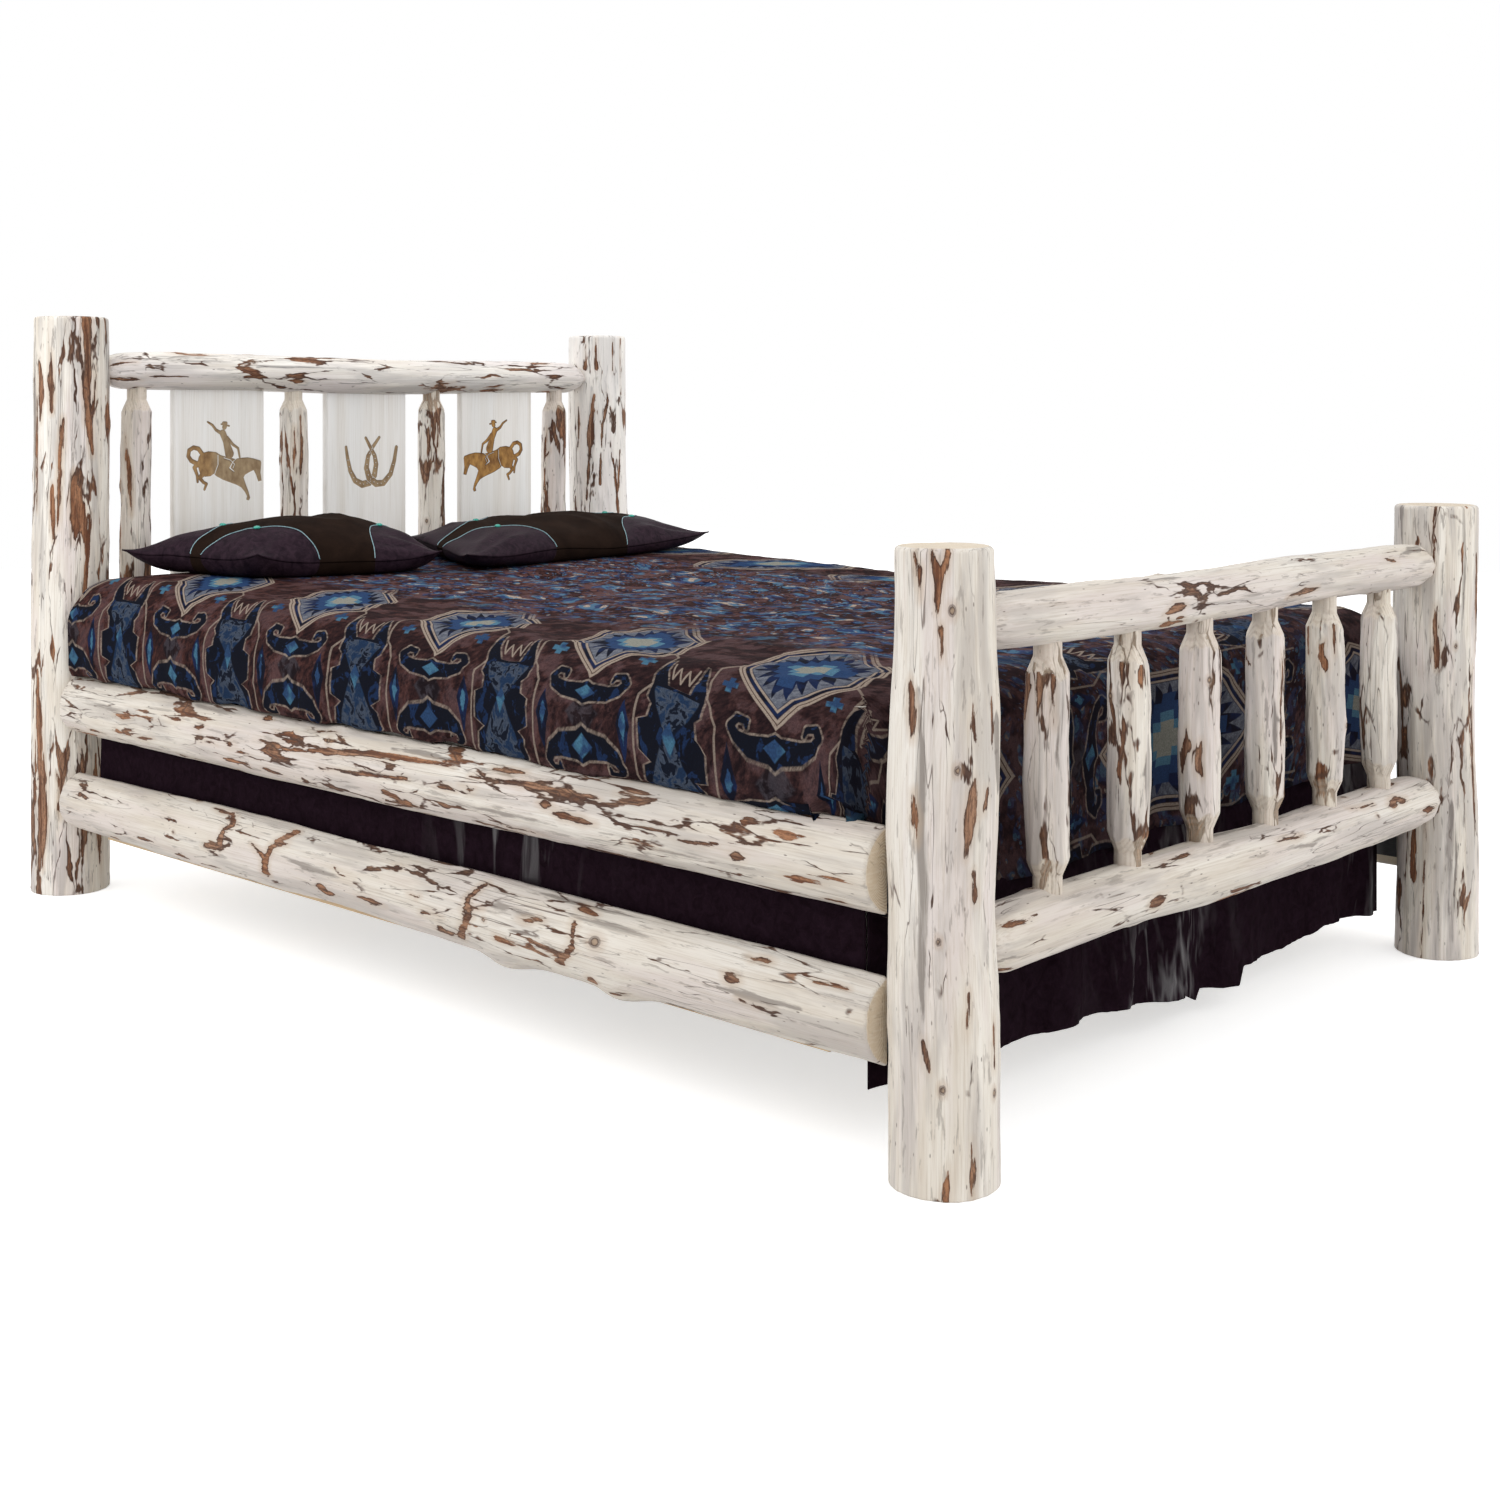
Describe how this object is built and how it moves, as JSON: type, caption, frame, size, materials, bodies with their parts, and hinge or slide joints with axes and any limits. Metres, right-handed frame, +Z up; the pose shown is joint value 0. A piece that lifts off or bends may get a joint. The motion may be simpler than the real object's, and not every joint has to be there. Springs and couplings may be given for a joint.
{
  "type": "rustic log bed",
  "caption": "Rustic bed of peeled pine logs with spindled headboard and footboard, half-log side rails, slats and dark patterned bedding.",
  "frame": {"origin": "on the floor at the centre of the bed, midway between the posts", "axes": "+Z up, +Y from the footboard to the headboard, +X across the bed to the right as seen from the foot"},
  "size_m": [1.6505, 2.4492, 1.194],
  "materials": {
    "peeled_log": "hand-peeled pine, satin",
    "planed_board": "planed pine board, satin",
    "sawn_pine": "sawn pine, bare",
    "bracket_steel": "black satin",
    "screw_steel": "zinc plated",
    "comforter_weave": "woven geometric pattern",
    "pillow_suede": "brushed suede cloth",
    "skirt_cloth": "coated leather-look cloth, soft sheen",
    "ticking": "quilted ticking"
  },
  "bodies": {
    "root": {"box_spring": "ticking", "centre_beam": "sawn_pine", "centre_leg_foot": "sawn_pine", "centre_leg_head": "sawn_pine", "centre_leg_middle": "sawn_pine", "comforter": "comforter_weave", "foot_post_left": "peeled_log", "foot_post_right": "peeled_log", "footboard_bottom_rail": "peeled_log", "footboard_spindle_1": "peeled_log", "footboard_spindle_2": "peeled_log", "footboard_spindle_3": "peeled_log", "footboard_spindle_4": "peeled_log", "footboard_spindle_5": "peeled_log", "footboard_spindle_6": "peeled_log", "footboard_top_rail": "peeled_log", "head_post_left": "peeled_log", "head_post_right": "peeled_log", "headboard_bottom_rail": "peeled_log", "headboard_panel_centre": "planed_board", "headboard_panel_left": "planed_board", "headboard_panel_right": "planed_board", "headboard_spindle_1": "peeled_log", "headboard_spindle_2": "peeled_log", "headboard_spindle_3": "peeled_log", "headboard_spindle_4": "peeled_log", "headboard_top_rail": "peeled_log", "ledger_left": "sawn_pine", "ledger_right": "sawn_pine", "ledger_screws": "screw_steel", "mattress": "ticking", "pillow_left": "pillow_suede", "pillow_right": "pillow_suede", "rail_hook_bars": "bracket_steel", "rail_hook_pins": "bracket_steel", "rail_hook_screws": "screw_steel", "side_rail_lower_left": "peeled_log", "side_rail_lower_right": "peeled_log", "side_rail_upper_left": "peeled_log", "side_rail_upper_right": "peeled_log", "skirt_deck": "skirt_cloth", "skirt_foot": "skirt_cloth", "skirt_left": "skirt_cloth", "skirt_right": "skirt_cloth", "slat_1": "sawn_pine", "slat_2": "sawn_pine", "slat_3": "sawn_pine", "slat_4": "sawn_pine", "slat_5": "sawn_pine", "slat_screws": "screw_steel", "tenon_screws": "screw_steel"}
  },
  "joints": []
}
